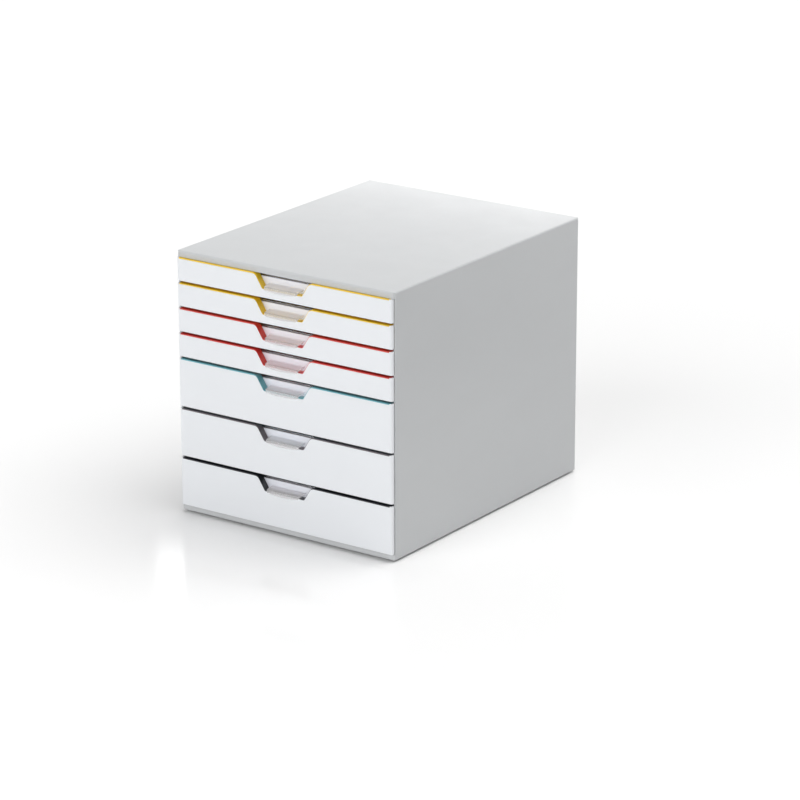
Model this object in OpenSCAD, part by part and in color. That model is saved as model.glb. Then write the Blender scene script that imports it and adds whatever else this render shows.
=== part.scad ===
// Desktop drawer tower: a grey sleeve on rubber feet, closed by a back panel, with
// seven sliding drawers. Each drawer is a coloured tray behind a white front cap, with
// a clear pull tab that is also the label pocket, and a paper label card in it.
// X points right, Y to the back and Z up. Z = 0 is the table, and the origin is under
// the middle of the whole outline, pull tabs included.

/* [Casing] */
// Width of the casing
casing_w = 280; // [240:1:340]
// Depth of the casing without the drawer fronts
casing_d = 350; // [300:1:420]
// Thickness of the side walls
side_wall = 2.6; // [2.2:0.1:4]
// Thickness of the top
top_wall = 2.8; // [2.2:0.1:4]
// Thickness of the base
base_wall = 2.8; // [2.2:0.1:4]
// Height of the band across the front of the top
top_band_h = 6.9; // [4.5:0.1:12]
// Height of the band across the front of the base
base_band_h = 6; // [5:0.1:14]
// Thickness of the bands, front to back
band_t = 3; // [2.6:0.1:6]
// How far the front edges of the side walls stand back behind the bands
rim_setback = 2.5; // [0:0.1:2.5]
// Radius of the upright corners
corner_r = 4; // [3:0.5:10]
// Radius of the edge round the top
top_edge_r = 2; // [1:0.5:2.5]
// Radius of the edge round the base
base_edge_r = 0.8; // [0.4:0.1:2]
// Radius of the corners inside the casing
inner_r = 1.5; // [0.5:0.1:3]

/* [Back panel and feet] */
// Thickness of the back panel
panel_t = 2.4; // [1.6:0.1:4]
// How far the back panel sits in from the rear rim
panel_inset = 0.4; // [0:0.1:2]
// Width of the rebate in the rear rim that holds the back panel
panel_lap = 1.2; // [0.8:0.1:1.4]
// Height of the feet below the casing
foot_h = 2.4; // [1:0.1:6]
// Radius of the round feet
foot_r = 9; // [5:0.5:14]
// Distance from the outside of the casing to the middle of a foot
foot_inset = 24; // [16:1:60]
// Depth of the pockets that the feet sit in
foot_pocket = 0.8; // [0.4:0.1:1.4]

/* [Drawers] */
// Number of single-height drawers at the top, of the seven; the rest are double
small_drawers = 4; // [0:1:7]
// Height that a single drawer takes, with its gap
unit_h = 27.85; // [27:0.05:45]
// Gap between one drawer front and the next
front_gap = 3.7; // [2:0.1:4.5]
// Gap between the coloured rim of the top drawer and the top band
top_gap = 0.3; // [0.2:0.1:4]
// Gap between the bottom drawer front and the base band
base_gap = 0.6; // [0.4:0.1:4]
// How far the drawer fronts stand out from the casing
front_proud = 2.5; // [1.5:0.1:8]
// How far the ends of a front stand in from the casing's sides
front_inset = 1.5; // [0.5:0.1:3]
// Travel of a drawer from shut to its stop
drawer_travel = 240; // [120:5:260]

/* [Front cap] */
// Thickness of the white cap over the front
cap_t = 1.2; // [0.8:0.1:2]
// Thickness of the cap's ends, which wrap round the tray's face
cap_end_t = 2; // [1.2:0.1:3]
// Gap between the back of the cap and the casing's side walls
cap_gap = 0.9; // [0.4:0.1:1.4]
// Radius of the cap's upright edges
cap_r = 3; // [1:0.5:3]
// Radius of the cap's upper and lower front edges
cap_edge_r = 0.5; // [0.2:0.1:0.6]

/* [Tray] */
// Thickness of the tray's face behind the cap
face_t = 6.7; // [3:0.1:8]
// Thickness of the walls of the face, which is hollow towards the tray
face_wall = 2; // [1.4:0.1:2.6]
// Radius of the face's upright edges inside the cap
face_r = 1; // [0.5:0.1:2]
// How far the face's coloured rim stands above the top of the cap
rim_h = 1; // [0.6:0.1:1.8]
// Thickness of the tray's sides and back
tray_wall = 2; // [1.4:0.1:3]
// Thickness of the tray's floor
tray_floor = 1.8; // [1.2:0.1:2.5]
// Radius of the corners and edges inside the tray
tray_r = 3; // [1:0.5:6]
// How far the tray's sides stay below the top of the cap
side_drop = 1.5; // [1:0.1:3]
// Room between the back of the tray and the back panel
rear_room = 7; // [5:0.5:30]

/* [Runners] */
// Width of the runner ledges inside the side walls
ledge_w = 9.2; // [5:0.1:20]
// Thickness of the flanges that carry the tray
flange_t = 2; // [1.4:0.1:3]
// Thickness of the runner ledges under the flanges
runner_t = 2; // [1.4:0.1:3]
// How far the runners start behind the front edges of the side walls
runner_inset = 3; // [2:0.5:20]
// Thickness of the guide ribs over the flanges
guide_t = 1.6; // [1:0.1:1.8]
// Height of the stop lugs at the back of the flanges
lug_h = 1.6; // [1.2:0.1:2]
// Length of the stop lugs
lug_l = 8; // [4:0.5:20]
// Height of the stops at the back of the runners
stop_h = 2.3; // [1.5:0.1:3]
// Thickness of the stops at the back of the runners
stop_t = 3; // [2:0.1:5]

/* [Cut-out] */
// Half the width of the finger cut-out at the top of the front
notch_top = 34.7; // [30:0.1:60]
// Half the width of the finger cut-out at its floor
notch_floor = 25.5; // [24:0.5:30]
// Depth of the finger cut-out
notch_depth = 14.4; // [13.3:0.1:15.4]
// Radius where the cap's cut-out meets its top edge
notch_top_r = 6; // [1:0.5:8]
// Radius of the cut-out's lower corners
notch_floor_r = 2; // [0.5:0.5:4]
// Thickness of the coloured rim that lines the cap's cut-out, with its clearance
notch_rim = 0.4; // [0.3:0.1:1.2]

/* [Pull tab and label] */
// How far the tab stands out from the front
tab_proud = 3.5; // [2:0.1:10]
// Half the width of the tab where it leaves the window
tab_half_back = 22.2; // [16:0.1:22.5]
// Half the width of the tab at its front edge
tab_half_front = 21.2; // [15:0.1:22]
// Depth of the tab's upper face below the top of the cap
tab_drop = 9.6; // [8.6:0.1:11.3]
// How far the tab falls from the window to its front edge
tab_fall = 1.2; // [0:0.1:1.5]
// Thickness of the tab and its lip
tab_t = 1.6; // [1.2:0.1:1.8]
// Depth of the lip's lower edge below the top of the cap
lip_drop = 16; // [15.3:0.1:19.3]
// How much the lip's lower edge bows down in the middle
lip_bow = 1.8; // [0.1:0.1:3]
// Radius of the bend between the tab and its lip
bend_r = 2.2; // [1.9:0.1:3]
// Radius of the fillet between the window and the tab
tab_fillet = 2; // [0.5:0.1:3]
// Radius of the lip's corners, seen from above and from the front
lip_r = 1.8; // [0.8:0.1:2]
// Depth of the window's top edge below the top of the cap
window_drop = 1.3; // [0.5:0.1:3.3]
// How far the window reaches beyond the cut-out
window_lap = 3.2; // [2:0.1:4]
// Thickness of the window's front pane
pane_t = 1.2; // [0.8:0.1:1.6]
// Thickness of the window's back pane
back_pane_t = 1; // [0.8:0.1:1.6]
// Thickness of the walls round the label slot
pocket_wall = 1.2; // [0.8:0.1:1.6]
// Thickness of the label card
label_t = 0.3; // [0.2:0.05:0.6]
// How far the label card ends below the window's top edge
label_sink = 2; // [0:0.1:4]

/* [Clearances] */
// Running clearance under the flanges
slide_clear = 0.3; // [0.2:0.05:0.6]
// Running clearance over the flanges
guide_clear = 0.5; // [0.3:0.05:0.8]
// Clearance between the flanges and the casing's sides
flange_clear = 1.2; // [0.8:0.1:1.5]
// Least clearance between the ends of the face and the casing's sides
face_clear = 0.6; // [0.4:0.1:1]
// Clearance between the tray's sides and the runners
runner_clear = 1.2; // [0.8:0.1:2]
// Clearance round pieces that are fitted and stay put
fit_clear = 0.1; // [0.05:0.01:0.2]
// Clearance of a stop before it touches
stop_clear = 0.3; // [0.2:0.05:0.5]

/* [Hidden] */
drawer_count = 7;
drawers = [1:drawer_count];
$fn = 64;

casing_grey = [0.70, 0.71, 0.72];
cap_white = [0.91, 0.92, 0.93];
clear_plastic = [0.86, 0.86, 0.88, 0.45];
paper_white = [0.97, 0.97, 0.98];
rubber_black = [0.12, 0.12, 0.13];
yellow = [0.85, 0.72, 0.20];
red = [0.75, 0.27, 0.23];
teal = [0.35, 0.60, 0.60];
taupe = [0.35, 0.31, 0.33];
anthracite = [0.18, 0.18, 0.20];
tray_colours = [yellow, yellow, red, red, teal, taupe, anthracite];

// How far a tool body runs past the face that it cuts, or sinks into what it joins
over = 1;
weld = 0.6;
// Steps of a quarter-turn bend drawn as an outline
arc_steps = 8;

// Stations from front to back
tab_y = -(casing_d + front_proud + tab_proud) / 2;
front_y = tab_y + tab_proud;
casing_y = front_y + front_proud;
back_y = casing_y + casing_d;
rim_y = casing_y + rim_setback;
cap_back_y = rim_y - cap_gap;
face_y = front_y + cap_t + fit_clear;
face_back_y = face_y + face_t;
window_y = face_back_y + fit_clear;
panel_y = back_y - panel_inset - panel_t;
tray_back_y = panel_y - rear_room;
runner_y = rim_y + runner_inset;
stop_y = tray_back_y + stop_clear;
lug_y = tray_back_y - lug_l;
guide_end_y = lug_y - drawer_travel - stop_clear;

// Half widths
casing_half = casing_w / 2;
inside_half = casing_half - side_wall;
cap_half = casing_half - front_inset;
face_half = min(cap_half - cap_end_t - fit_clear, inside_half - face_clear);
rim_half = face_half - face_r - 2 * fit_clear;
flange_half = inside_half - flange_clear;
runner_half = inside_half - ledge_w;
tray_half = runner_half - runner_clear;
tray_w = 2 * (tray_half - tray_wall);

// Levels
base_z = foot_h;
first_z = base_z + base_band_h + base_gap;
function units(n) = n <= small_drawers ? 1 : 2;
function units_below(n) = n >= drawer_count ? 0 : units(n + 1) + units_below(n + 1);
function front_z(n) = first_z + units_below(n) * unit_h;
function front_top(n) = front_z(n) + units(n) * unit_h - front_gap;
function side_top(n) = front_top(n) - side_drop;
function runner_top(n) = side_top(n) - flange_t - slide_clear;
doorway_top = front_top(1) + rim_h + top_gap;
casing_top = doorway_top + top_band_h;
// Lift of the tray's face and of its floor above the lower edge of the cap
face_lift = 0.4;
floor_lift = 0.6;

// Thickness of the clear moulding and the depths of its slot
slot_t = label_t + 2 * fit_clear;
window_t = pane_t + slot_t + back_pane_t;
window_floor = notch_depth + window_lap;
slot_floor = window_floor - pocket_wall;
slot_lap = window_lap - pocket_wall;
// Wall of the channel that holds the moulding, and how far its lips reach over it
channel_wall = 2;
channel_lip_t = 1;
channel_lip = 1.5;
channel_t = window_t + 2 * fit_clear + channel_lip_t;

// ---- Outlines and directions ----

// Draws an outline of X and Z as a body that runs from y0 to y1
module along_y(y0, y1) {
    translate([0, y0, 0])
        mirror([0, 1, 0])
            rotate([90, 0, 0])
                linear_extrude(y1 - y0)
                    children();
}

// Draws an outline of Y and Z as a body that runs from x0 to x1
module along_x(x0, x1) {
    translate([x0, 0, 0])
        rotate([90, 0, 90])
            linear_extrude(x1 - x0)
                children();
}

// Draws the same thing on the right and on the left
module both_sides() {
    children();
    mirror([1, 0, 0])
        children();
}

// What a rounded corner loses from a square one
module corner_waste(r) {
    difference() {
        square(r + over);
        circle(r);
    }
}

// A rectangle that stands on the first axis, with its own radius below and above
module rounded_rect(w, h, r_low, r_high) {
    difference() {
        translate([-w / 2, 0])
            square([w, h]);
        for (side = [0, 1])
            mirror([side, 0]) {
                translate([w / 2 - r_high, h - r_high])
                    corner_waste(r_high);
                translate([w / 2 - r_low, r_low])
                    mirror([0, 1])
                        corner_waste(r_low);
            }
    }
}

function arc(centre, r, from, to) = [
    for (i = [0:arc_steps])
        let (a = from + (to - from) * i / arc_steps)
            centre + r * [cos(a), sin(a)]
];
function flip_x(points) = [for (i = [len(points) - 1:-1:0]) [-points[i].x, points[i].y]];

// ---- Finger cut-out, in X and in height from the top of the cap ----

notch_lean = atan((notch_top - notch_floor) / notch_depth);
function notch_half(depth) = notch_top - depth * tan(notch_lean);
function corner_run(r) = r / tan((90 + notch_lean) / 2);
// Right side of an outline that follows the cut-out, grown to its sides and its floor,
// from a level above the top of the cap down to the middle
function notch_side(grow, level, top_r) =
    let (out = grow / cos(notch_lean),
        depth = notch_depth + grow,
        floor_r = notch_floor_r + grow)
    concat(
        arc([notch_half(-level) + out + corner_run(top_r), level - top_r], top_r,
            90, 180 - notch_lean),
        arc([notch_half(depth) + out - corner_run(floor_r), floor_r - depth],
            floor_r, -notch_lean, -90)
    );

// An outline given by its right side
module mirrored_outline(right) {
    polygon(concat(right, flip_x(right)));
}

// The opening in the tray's face
module notch_outline() {
    side = notch_side(0, rim_h, notch_top_r + notch_rim);
    mirrored_outline(concat([[side[0].x, rim_h + over]], side));
}

// What the cap leaves free for the tray's rim, or the rim itself with its clearance
module rim_outline(clear, high) {
    mirrored_outline(concat(
        [[rim_half + fit_clear - clear, high], [rim_half + fit_clear - clear, clear]],
        notch_side(notch_rim - clear, clear, notch_top_r + clear)
    ));
}

// A tapered outline that follows the cut-out's sides at a distance
module window_outline(top, bottom, lap) {
    polygon([
        [-notch_half(top) - lap, -top],
        [notch_half(top) + lap, -top],
        [notch_half(bottom) + lap, -bottom],
        [-notch_half(bottom) - lap, -bottom]
    ]);
}

// ---- Casing ----

module casing_outside() {
    h = casing_top - base_z;
    translate([0, casing_y + casing_d / 2, base_z])
        intersection() {
            translate([0, -casing_d / 2])
                linear_extrude(h)
                    rounded_rect(casing_w, casing_d, corner_r, corner_r);
            along_y(-casing_d / 2, casing_d / 2)
                rounded_rect(casing_w, h, base_edge_r, top_edge_r);
            along_x(-casing_half, casing_half)
                rounded_rect(casing_d, h, base_edge_r, top_edge_r);
        }
}

// The room inside, as wide as the walls leave it, grown by a lap for the rebate
module casing_room(y0, y1, lap) {
    low = base_z + base_wall - lap;
    along_y(y0, y1)
        translate([0, low])
            rounded_rect(2 * (inside_half + lap), casing_top - top_wall + lap - low,
                inner_r, inner_r);
}

// The doorway between the bands, through which the drawers pass
module casing_doorway() {
    low = base_z + base_band_h;
    high = doorway_top;
    translate([-inside_half, casing_y - over, low])
        cube([2 * inside_half, band_t + 2 * over, high - low]);
    translate([-casing_half - over, casing_y - over, low])
        cube([casing_w + 2 * over, rim_setback + over, high - low]);
}

// Ledge with an upright stop at its back end
module runner(n) {
    top = runner_top(n);
    along_x(runner_half, inside_half + weld)
        polygon([
            [runner_y, top - runner_t],
            [stop_y + stop_t, top - runner_t],
            [stop_y + stop_t, top + stop_h],
            [stop_y, top + stop_h],
            [stop_y, top],
            [runner_y, top]
        ]);
}

// Rib over the flange, which keeps a pulled drawer level and ends at its stop
module guide(n) {
    translate([runner_half, runner_y, side_top(n) + guide_clear])
        cube([inside_half + weld - runner_half, guide_end_y - runner_y, guide_t]);
}

// Calls its children at the four feet
module at_foot(n) {
    across = n % 2 == 1 ? -1 : 1;
    along = n <= 2 ? casing_y + foot_inset : back_y - foot_inset;
    translate([across * (casing_half - foot_inset), along, 0])
        children();
}

module casing_shell() {
    color(casing_grey) {
        difference() {
            casing_outside();
            casing_room(casing_y + band_t, back_y + over, 0);
            casing_room(panel_y, back_y + over, panel_lap);
            casing_doorway();
            for (n = [1:4])
                at_foot(n)
                    cylinder(h = foot_h + foot_pocket, r = foot_r + fit_clear);
        }
        for (n = drawers)
            both_sides() {
                runner(n);
                guide(n);
            }
    }
}

module back_panel() {
    lap = panel_lap - fit_clear;
    color(casing_grey)
        casing_room(panel_y, panel_y + panel_t, lap);
}

module foot(n) {
    color(rubber_black)
        at_foot(n)
            cylinder(h = foot_h + foot_pocket, r = foot_r);
}

// ---- Tray ----

// The face behind the cap, and its rim over the cap and round the cut-out
module tray_face(n) {
    low = front_z(n) + face_lift;
    difference() {
        union() {
            translate([0, face_y, low])
                linear_extrude(front_top(n) + rim_h - low)
                    rounded_rect(2 * face_half, face_t, face_r, 0);
            translate([0, 0, front_top(n)])
                along_y(front_y + fit_clear, face_y + weld)
                    rim_outline(fit_clear, rim_h);
        }
        translate([0, 0, front_top(n)])
            along_y(front_y - over, face_back_y + over)
                notch_outline();
        face_hollow(n);
    }
}

// The room inside the face, on each side of the cut-out and its channel
module face_hollow(n) {
    low = front_z(n) + floor_lift + tray_floor;
    high = front_top(n) + rim_h - face_wall;
    middle = notch_half(-rim_h) + window_lap + channel_wall + face_wall;
    difference() {
        along_y(face_y + face_wall, face_back_y + over)
            translate([0, low])
                rounded_rect(tray_w, high - low, tray_r, face_r);
        translate([-middle, face_y, low - over])
            cube([2 * middle, face_t + 2 * over, high - low + 2 * over]);
    }
}

// The tub under a plate whose sides are the flanges that ride on the runners
module tray_box(n) {
    low = front_z(n) + floor_lift;
    plate_z = side_top(n) - flange_t;
    depth = tray_back_y - face_back_y + weld;
    difference() {
        translate([0, face_back_y - weld, 0]) {
            translate([0, 0, low])
                linear_extrude(plate_z + weld - low)
                    rounded_rect(2 * tray_half, depth, 0, tray_r + tray_wall);
            translate([-flange_half, 0, plate_z])
                cube([2 * flange_half, depth, flange_t]);
        }
        tray_room(low + tray_floor, side_top(n) + over);
    }
}

// The room inside the tray, open above and towards the face
module tray_room(low, high) {
    start = face_back_y - weld - over;
    room = tray_back_y - tray_wall - start;
    tall = 2 * (high - low);
    translate([0, start, low])
        intersection() {
            linear_extrude(high - low)
                rounded_rect(tray_w, room, 0, tray_r);
            along_y(0, room)
                rounded_rect(tray_w, tall, tray_r, 0);
            along_x(-tray_w / 2, tray_w / 2)
                translate([0, tall / 2])
                    rotate(-90)
                        rounded_rect(tall, room, 0, tray_r);
        }
}

// Lug at the back of a flange, which meets the end of the guide
module tray_lug(n) {
    top = side_top(n);
    along_x(runner_half + fit_clear, flange_half)
        polygon([
            [lug_y, top - weld],
            [tray_back_y - weld, top - weld],
            [tray_back_y - weld, top],
            [tray_back_y - weld - lug_h, top + lug_h],
            [lug_y, top + lug_h]
        ]);
}

// Channel behind the face, open above, into which the clear moulding drops
module tray_channel(n) {
    bed = window_t + 2 * fit_clear;
    translate([0, 0, front_top(n)])
        difference() {
            along_y(face_back_y - weld, face_back_y + channel_t)
                window_outline(window_drop, window_floor + channel_wall,
                    window_lap + channel_wall);
            along_y(face_back_y - weld - over, face_back_y + bed)
                window_outline(window_drop - over, window_floor + fit_clear,
                    window_lap + fit_clear);
            along_y(face_back_y, face_back_y + channel_t + over)
                window_outline(window_drop - over, window_floor - channel_lip,
                    window_lap - channel_lip);
        }
}

module tray(n) {
    color(tray_colours[n - 1]) {
        tray_face(n);
        tray_box(n);
        tray_channel(n);
        both_sides()
            tray_lug(n);
    }
}

// ---- Front cap ----

// The cap's ends rise beside the tray's rim
module front_cap(n) {
    cap_d = cap_back_y - front_y;
    cap_h = front_top(n) + rim_h - front_z(n);
    rim_end = rim_half + fit_clear;
    color(cap_white)
        difference() {
            translate([0, front_y, front_z(n)])
                linear_extrude(cap_h)
                    rounded_rect(2 * cap_half, cap_d, cap_r, 0);
            translate([0, front_y + cap_t, front_z(n) - over])
                linear_extrude(cap_h + 2 * over)
                    rounded_rect(2 * (cap_half - cap_end_t), cap_d, face_r, 0);
            translate([0, 0, front_top(n)])
                along_y(front_y - over, face_y + over)
                    rim_outline(0, rim_h + over);
            cap_edge_waste(-casing_half, casing_half, front_z(n), 0);
            cap_edge_waste(-rim_end, rim_end, front_top(n), 1);
            both_sides()
                cap_edge_waste(rim_end, casing_half, front_top(n) + rim_h, 1);
        }
}

// What a lower or an upper front edge of the cap loses to its radius
module cap_edge_waste(x0, x1, z, upper) {
    along_x(x0, x1)
        translate([front_y, z])
            mirror([0, upper])
                translate([cap_edge_r, cap_edge_r])
                    rotate(180)
                        corner_waste(cap_edge_r);
}

// ---- Pull tab with its label pocket ----

// Upper face, bend and lip of the tab, in Y and in height from the top of the cap
module tab_profile() {
    reach = tab_y - window_y;
    slope = atan(tab_fall / -reach);
    inner_bend = bend_r - tab_t;
    bend = [tab_y + bend_r, -tab_drop - tab_fall - bend_r];
    fillet = [window_y - tab_fillet,
        tab_fillet / cos(slope) - tab_fillet * tan(slope) - tab_drop];
    polygon(concat(
        [[window_y + weld, fillet.y]],
        arc(fillet, tab_fillet, 0, slope - 90),
        arc(bend, bend_r, 90 + slope, 180),
        [[tab_y, -lip_drop], [tab_y + tab_t, -lip_drop]],
        arc(bend, inner_bend, 180, 90 + slope),
        [[window_y + weld, -tab_drop - tab_t]]
    ));
}

// The tab from above: it narrows towards its lip and has round front corners
module tab_plan() {
    corner = [tab_half_front - lip_r, tab_y + lip_r];
    right = concat(
        arc(corner, lip_r, -90, 0),
        [[tab_half_back, window_y + weld]]
    );
    polygon(concat(right, flip_x(right)));
}

// The tab from the front: the lower edge is bowed and its corners are round
module tab_front() {
    half = tab_half_back + over;
    bow_r = (tab_half_front * tab_half_front + lip_bow * lip_bow) / (2 * lip_bow);
    bow = [0, bow_r - lip_drop];
    turn = asin((tab_half_front - lip_r) / (bow_r - lip_r));
    corner = bow + (bow_r - lip_r) * [sin(turn), -cos(turn)];
    inner_turn = turn * (1 - 1 / arc_steps);
    corner_right = concat(
        arc(corner, lip_r, turn - 90, 0),
        [[half, corner.y], [half, 0]]
    );
    polygon(concat(
        arc(bow, bow_r, -90 - inner_turn, inner_turn - 90),
        corner_right,
        flip_x(corner_right)
    ));
}

module pull_tab(n) {
    color(clear_plastic)
        translate([0, 0, front_top(n)]) {
            difference() {
                along_y(window_y, window_y + window_t)
                    window_outline(window_drop, window_floor, window_lap);
                along_y(window_y + pane_t, window_y + pane_t + slot_t)
                    window_outline(window_drop - over, slot_floor, slot_lap);
            }
            intersection() {
                along_x(-tab_half_back, tab_half_back)
                    tab_profile();
                translate([0, 0, -lip_drop - over])
                    linear_extrude(lip_drop)
                        tab_plan();
                along_y(tab_y, window_y + weld)
                    tab_front();
            }
        }
}

module label_card(n) {
    slot_y = window_y + pane_t + fit_clear;
    color(paper_white)
        translate([0, 0, front_top(n)])
            along_y(slot_y, slot_y + label_t)
                window_outline(window_drop + label_sink, slot_floor - fit_clear,
                    slot_lap - fit_clear);
}

// ---- Assembly ----

casing_shell();
back_panel();
for (n = [1:4])
    foot(n);
for (n = drawers) {
    tray(n);
    front_cap(n);
    pull_tab(n);
    label_card(n);
}
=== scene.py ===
import math

import bpy
from mathutils import Matrix, Vector

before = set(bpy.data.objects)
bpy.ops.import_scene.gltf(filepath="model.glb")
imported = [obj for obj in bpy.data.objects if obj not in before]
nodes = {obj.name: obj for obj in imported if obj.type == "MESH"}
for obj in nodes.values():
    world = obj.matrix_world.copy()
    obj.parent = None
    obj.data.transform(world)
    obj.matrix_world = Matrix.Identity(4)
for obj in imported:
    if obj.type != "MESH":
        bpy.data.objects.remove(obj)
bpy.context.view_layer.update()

# Colours are linear, lengths in metres and angles in degrees.
CASING_GREY = (0.521, 0.533, 0.542)
FRONT_WHITE = (0.766, 0.785, 0.810)
TRAY_COLOURS = {
    "tray_yellow": (0.85, 0.57, 0.024),
    "tray_red": (0.68, 0.055, 0.042),
    "tray_teal": (0.145, 0.45, 0.51),
    "tray_taupe": (0.160, 0.138, 0.150),
    "tray_anthracite": (0.022, 0.024, 0.029),
}
# The tray of each drawer, from the top drawer down
DRAWER_TRAYS = ("tray_yellow", "tray_yellow", "tray_red", "tray_red",
                "tray_teal", "tray_taupe", "tray_anthracite")
FOOT_COUNT = 4
PLASTIC_IOR = 1.49
FLOOR_IOR = 1.3

# Where the clear moulding changes: its lip ends and its tab ends along the depth, and the window
# rises above the card at a share of the height.
# The lip and the strip above the card are given darker colours as painted shade.
LIP_END = (-0.1768, -0.1762)
TAB_END = (-0.1684, -0.1668)
CARD_TOP = (0.860, 0.885)

# First input, second input and output of a Mix node for each type of value
MIX_SOCKETS = {"FLOAT": (2, 3, 0), "RGBA": (6, 7, 2)}


# ---------------------------------------------------------------- materials

class Graph:
    """A node tree, with helpers that take and give sockets."""

    def __init__(self, owner):
        owner.use_nodes = True
        self.tree = owner.node_tree
        self.tree.nodes.clear()

    def node(self, kind, **settings):
        made = self.tree.nodes.new("ShaderNode" + kind)
        for key, value in settings.items():
            setattr(made, key, value)
        return made

    def join(self, source, into):
        """Link an output to an input, or set the input to a plain value."""
        if isinstance(source, bpy.types.NodeSocket):
            self.tree.links.new(source, into)
        elif into.type == "RGBA":
            into.default_value = (*source, 1.0)
        else:
            into.default_value = source

    def math(self, operation, *terms):
        made = self.node("Math", operation=operation)
        for term, socket in zip(terms, made.inputs):
            self.join(term, socket)
        return made.outputs["Value"]

    def either(self, factor, first, second):
        """The first shader where the factor is 0 and the second where it is 1."""
        made = self.node("MixShader")
        for source, socket in zip((factor, first, second), made.inputs):
            self.join(source, socket)
        return made.outputs["Shader"]

    def glow(self, kind, colour, strength):
        """An Emission or Background shader."""
        made = self.node(kind)
        self.join(colour, made.inputs["Color"])
        self.join(strength, made.inputs["Strength"])
        return made.outputs[0]

    def see_through(self, tint):
        made = self.node("BsdfTransparent")
        self.join(tint, made.inputs["Color"])
        return made.outputs["BSDF"]

    def rays(self):
        return self.node("LightPath").outputs


class Shader(Graph):
    """A material with a Principled shader."""

    def __init__(self, name):
        self.mat = bpy.data.materials.new(name)
        super().__init__(self.mat)
        self.bsdf = self.node("BsdfPrincipled")
        self.surface = self.node("OutputMaterial").inputs["Surface"]
        self.join(self.bsdf.outputs["BSDF"], self.surface)
        self.place = self.node("TexCoord").outputs

    def set(self, inputs):
        """Give the Principled shader's inputs their values or sockets."""
        for name, value in inputs.items():
            self.join(value, self.bsdf.inputs[name])

    def noise(self, scale, detail=2.0, rough=0.5, stretch=None):
        """Noise of the object's coordinates: a scale of 1000 has features of about 1 mm."""
        made = self.node("TexNoise")
        made.inputs["Scale"].default_value = scale
        made.inputs["Detail"].default_value = detail
        made.inputs["Roughness"].default_value = rough
        place = self.place["Object"]
        if stretch:
            turned = self.node("Mapping")
            turned.inputs["Scale"].default_value = stretch
            self.join(place, turned.inputs["Vector"])
            place = turned.outputs["Vector"]
        self.join(place, made.inputs["Vector"])
        return made.outputs["Fac"]

    def axis(self, space, letter):
        """One coordinate of a place on the surface."""
        made = self.node("SeparateXYZ")
        self.join(self.place[space], made.inputs["Vector"])
        return made.outputs[letter]

    def ramp(self, source, low, high, start=0.3, end=0.7):
        """A number that goes from low to high while the source goes from start to end."""
        made = self.node("MapRange")
        for name, value in (("Value", source), ("From Min", start), ("From Max", end),
                            ("To Min", low), ("To Max", high)):
            self.join(value, made.inputs[name])
        return made.outputs["Result"]

    def between(self, factor, first, second):
        """A number or colour between two others. The first may be a socket."""
        kind = "RGBA" if isinstance(second, tuple) else "FLOAT"
        a, b, result = MIX_SOCKETS[kind]
        made = self.node("Mix", data_type=kind)
        for source, index in ((factor, 0), (first, a), (second, b)):
            self.join(source, made.inputs[index])
        return made.outputs[result]

    def bump(self, *reliefs):
        """Stacked bumps, each (height, strength, distance)."""
        normal = None
        for height, strength, distance in reliefs:
            made = self.node("Bump")
            made.inputs["Strength"].default_value = strength
            made.inputs["Distance"].default_value = distance
            self.join(height, made.inputs["Height"])
            if normal:
                self.join(normal, made.inputs["Normal"])
            normal = made.outputs["Normal"]
        return normal

    def let_light_through(self, tint):
        """Lamps and bounced light pass straight through a thin clear piece."""
        rays = self.rays()
        passing = self.math("MAXIMUM", rays["Is Shadow Ray"], rays["Is Diffuse Ray"])
        self.join(self.either(passing, self.bsdf.outputs["BSDF"], self.see_through(tint)),
                  self.surface)


def shade(colour, factor):
    return tuple(min(1.0, c * factor) for c in colour)


def moulded(name, colour, rough, grain, grain_depth, mottle, wave_depth=0.00005):
    """Injection-moulded plastic: fine spark grain over slow waves, faint flow
    mottling, and patches where the surface is a little shinier."""
    s = Shader(name)
    flow = s.ramp(s.noise(9.0, 3.0, 0.55, (1.0, 1.0, 2.4)), 0.0, 1.0, 0.25, 0.75)
    spark = s.noise(grain, 3.0, 0.6)
    wear = s.ramp(s.noise(34.0, 4.0, 0.6), rough - 0.035, rough + 0.035)
    waves = s.noise(14.0, 1.0, 0.4)
    s.set({"Base Color": s.between(flow, shade(colour, 1.0 - mottle), shade(colour, 1.0 + mottle)),
           "Roughness": s.math("ADD", wear, s.ramp(spark, -0.03, 0.03)),
           "Normal": s.bump((waves, 1.0, wave_depth), (spark, 0.5, grain_depth)),
           "IOR": PLASTIC_IOR})
    return s.mat


def clear_moulding(name):
    """Clear plastic, satin on the tab and its lip, milky over the card, and clear above the card.
    The lip is tinted darker as painted shade for the shadow line under it, and the clear strip
    above the card is tinted darker as painted shade for the shadowed gap behind it."""
    s = Shader(name)
    depth, height = s.axis("Object", "Y"), s.axis("Generated", "Z")
    steps = ((depth, LIP_END), (depth, TAB_END), (height, CARD_TOP))

    def zones(lip, *others):
        """One value each for the lip, the tab, the card and the strip above it."""
        value = lip
        for (along, limits), following in zip(steps, others):
            value = s.between(s.ramp(along, 0.0, 1.0, *limits), value, following)
        return value

    satin = s.ramp(s.noise(420.0, 4.0), -0.03, 0.03)
    # Painted shade: the lip's colour and the colour of the strip above the card are darker,
    # standing for the shade under the lip and in the gap above the card.
    s.set({"Base Color": zones((0.70, 0.695, 0.70), (0.90, 0.89, 0.90),
                               (0.865, 0.875, 0.93), (0.62, 0.61, 0.615)),
           "Transmission Weight": zones(0.70, 0.66, 0.50, 0.98),
           "Roughness": s.math("ADD", zones(0.15, 0.09, 0.12, 0.05), satin),
           "Normal": s.bump((s.noise(45.0, 2.0), 0.5, 0.00005)),
           "IOR": PLASTIC_IOR})
    s.let_light_through((0.97, 0.97, 0.97))
    return s.mat


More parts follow.
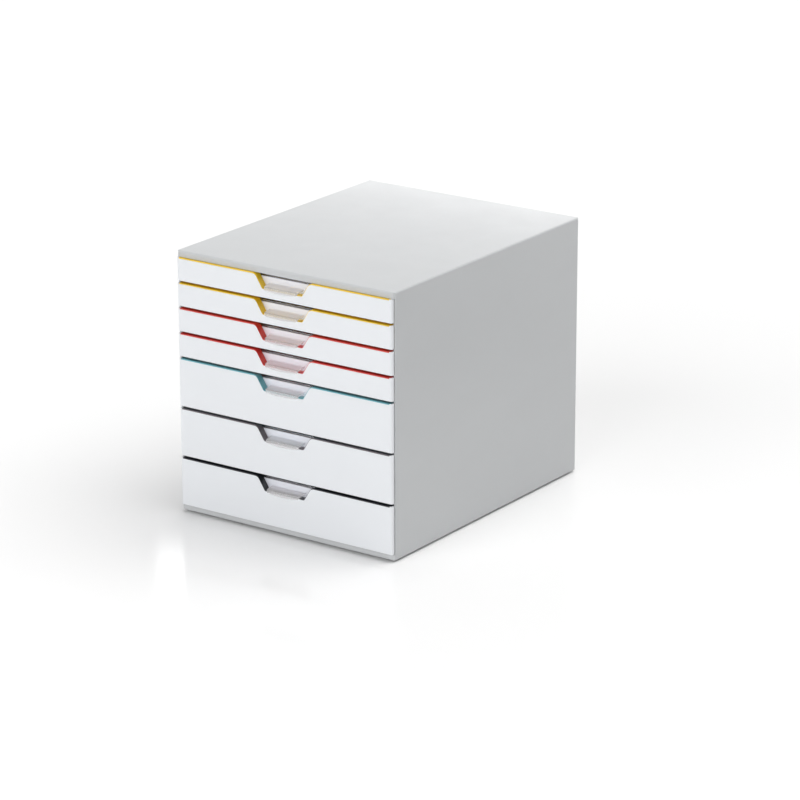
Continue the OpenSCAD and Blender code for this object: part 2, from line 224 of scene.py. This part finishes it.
def speckled(name, noise, colours, roughness, relief):
    """Paper or rubber: one fine noise sets its colour, roughness and relief."""
    s = Shader(name)
    specks = s.noise(*noise)
    s.set({"Base Color": s.between(s.ramp(specks, 0.0, 1.0), *colours),
           "Roughness": s.ramp(specks, *roughness),
           "Normal": s.bump((specks, *relief))})
    return s.mat


casing = moulded("casing_grey", CASING_GREY, 0.38, 2600.0, 0.00006, 0.014, 0.00006)
white = moulded("front_white", FRONT_WHITE, 0.34, 3400.0, 0.00002, 0.008)
trays = {slot: moulded(slot, colour, 0.36, 3000.0, 0.00003, 0.03)
         for slot, colour in TRAY_COLOURS.items()}
clear = clear_moulding("tab_clear")
paper = speckled("label_paper", (900.0, 5.0, 0.65, (1.0, 1.0, 0.45)),
                 ((0.90, 0.90, 0.95), (0.93, 0.93, 0.98)), (0.78, 0.92), (0.4, 0.00004))
rubber = speckled("foot_rubber", (1500.0, 4.0, 0.7),
                  ((0.030, 0.030, 0.033), (0.055, 0.055, 0.060)), (0.70, 0.90), (0.6, 0.00008))


def dress(name, material):
    for slot in nodes[name].material_slots:
        slot.material = material


dress("casing_shell", casing)
dress("back_panel", casing)
for i in range(1, FOOT_COUNT + 1):
    dress(f"foot_{i}", rubber)
for n, tray in enumerate(DRAWER_TRAYS, 1):
    dress(f"tray_{n}", trays[tray])
    dress(f"front_cap_{n}", white)
    dress(f"pull_tab_{n}", clear)
    dress(f"label_card_{n}", paper)


# -------------------------------------------------------------------- stage

def flat(name, corners, material):
    """A plane with four corners."""
    mesh = bpy.data.meshes.new(name)
    mesh.from_pydata(corners, [], [(0, 1, 2, 3)])
    mesh.materials.append(material)
    made = bpy.data.objects.new(name, mesh)
    bpy.context.scene.collection.objects.link(made)
    return made


def floor_material():
    """Pale polished studio sheet, painted a little brighter away from the object and darker near
    it, as a painted fall-off of light.
    It keeps the shadow and a faint reflection."""
    s = Shader("studio_floor")
    away = s.node("VectorMath", operation="LENGTH")
    s.join(s.place["Object"], away.inputs[0])
    # Painted light: the colour ramps from darker near the object to lighter away from it.
    s.set({"Base Color": s.between(s.ramp(away.outputs["Value"], 0.0, 1.0, 0.35, 1.3),
                                   (0.92, 0.92, 0.92), (0.985, 0.985, 0.985)),
           "Roughness": 0.11,
           "IOR": FLOOR_IOR})
    return s.mat


half = 14.0
floor = flat("floor", ((-half, -half, 0), (half, -half, 0), (half, half, 0), (-half, half, 0)),
             floor_material())


def studio_world():
    """White where the camera looks, also through clear plastic. It lights the
    object dimly, and shows more brightly in its sheen."""
    world = bpy.data.worlds.new("studio")
    bpy.context.scene.world = world
    g = Graph(world)
    rays = g.rays()
    level = g.math("MULTIPLY_ADD", rays["Is Glossy Ray"], 0.50, 0.25)
    seen = g.math("MAXIMUM", rays["Is Camera Ray"], rays["Is Transmission Ray"])
    g.join(g.either(seen, g.glow("Background", (0.985, 0.99, 1.0), level),
                    g.glow("Background", (1.0, 1.0, 1.0), 1.0)),
           g.node("OutputWorld").inputs["Surface"])


def sun(name, towards, strength, angle, colour=(1, 1, 1)):
    """A soft lamp, given by the direction that it shines from."""
    lamp = bpy.data.lights.new(name, "SUN")
    lamp.energy = strength
    lamp.angle = math.radians(angle)
    lamp.color = colour
    made = bpy.data.objects.new(name, lamp)
    bpy.context.scene.collection.objects.link(made)
    made.rotation_euler = Vector(towards).to_track_quat("Z", "Y").to_euler()


def sheen_card(name, corners, strength, one_sided):
    """A card that shows only in the sheen of other surfaces. A one-sided card
    is clear from below."""
    mat = bpy.data.materials.new(name)
    g = Graph(mat)
    shader = g.glow("Emission", (1.0, 1.0, 1.0), strength)
    if one_sided:
        behind = g.node("NewGeometry").outputs["Backfacing"]
        shader = g.either(behind, shader, g.see_through((1.0, 1.0, 1.0)))
    g.join(shader, g.node("OutputMaterial").inputs["Surface"])
    made = flat(name, corners, mat)
    made.visible_camera = made.visible_diffuse = made.visible_transmission = False
    made.visible_volume_scatter = made.visible_shadow = False
    return made


studio_world()

# Large soft lights: above and to the right, above and behind, and low in front
sun("key", (0.32, 0.26, 0.91), 2.04, 60.0, (1.0, 0.995, 0.985))
sun("rear", (-0.10, 0.60, 0.80), 0.47, 60.0)
sun("fill", (-0.10, -0.95, 0.30), 1.76, 60.0)

# A bright card close behind, for the casing's top
card = sheen_card("reflector", ((-0.60, 0.35, 0.295), (0.10, 0.35, 0.295),
                                (0.10, 0.35, 0.38), (-0.60, 0.35, 0.38)), 2.8, False)

# A dark card on the floor at the right, for the casing's side
dark = sheen_card("dark_card", ((0.44, 0.24, 0.01), (1.05, 0.24, 0.01),
                                (1.05, 0.70, 0.01), (0.44, 0.70, 0.01)), 0.0, True)


# ------------------------------------------------------------------- camera

# The place of the photo's camera: its direction from the object, its distance,
# and what it is shifted by across the picture
AZIMUTH, ELEVATION, ROLL = 35.049, 18.289, -0.106
AIM = Vector((0.0, 0.003, 0.146))
DISTANCE, SHIFT_RIGHT, SHIFT_UP = 3.921491, 0.019946, -0.039631
SENSOR_WIDTH = 36.0
FOCAL_SHARE = 3625.75 / 800.0  # focal length as a share of the picture's width

az, el, roll = (math.radians(a) for a in (AZIMUTH, ELEVATION, ROLL))
back = Vector((math.sin(az) * math.cos(el), -math.cos(az) * math.cos(el), math.sin(el)))
right = Vector((math.cos(az), math.sin(az), 0.0))
up = back.cross(right)
right, up = (math.cos(roll) * right + math.sin(roll) * up,
             -math.sin(roll) * right + math.cos(roll) * up)
eye = AIM + back * DISTANCE + right * SHIFT_RIGHT + up * SHIFT_UP

lens = bpy.data.cameras.new("camera")
lens.sensor_width = SENSOR_WIDTH
lens.lens = SENSOR_WIDTH * FOCAL_SHARE
lens.clip_end = 60.0
camera = bpy.data.objects.new("camera", lens)
bpy.context.scene.collection.objects.link(camera)
camera.matrix_world = Matrix(((right.x, up.x, back.x, eye.x),
                              (right.y, up.y, back.y, eye.y),
                              (right.z, up.z, back.z, eye.z),
                              (0, 0, 0, 1)))
bpy.context.scene.camera = camera
bpy.context.scene.view_settings.view_transform = "Standard"
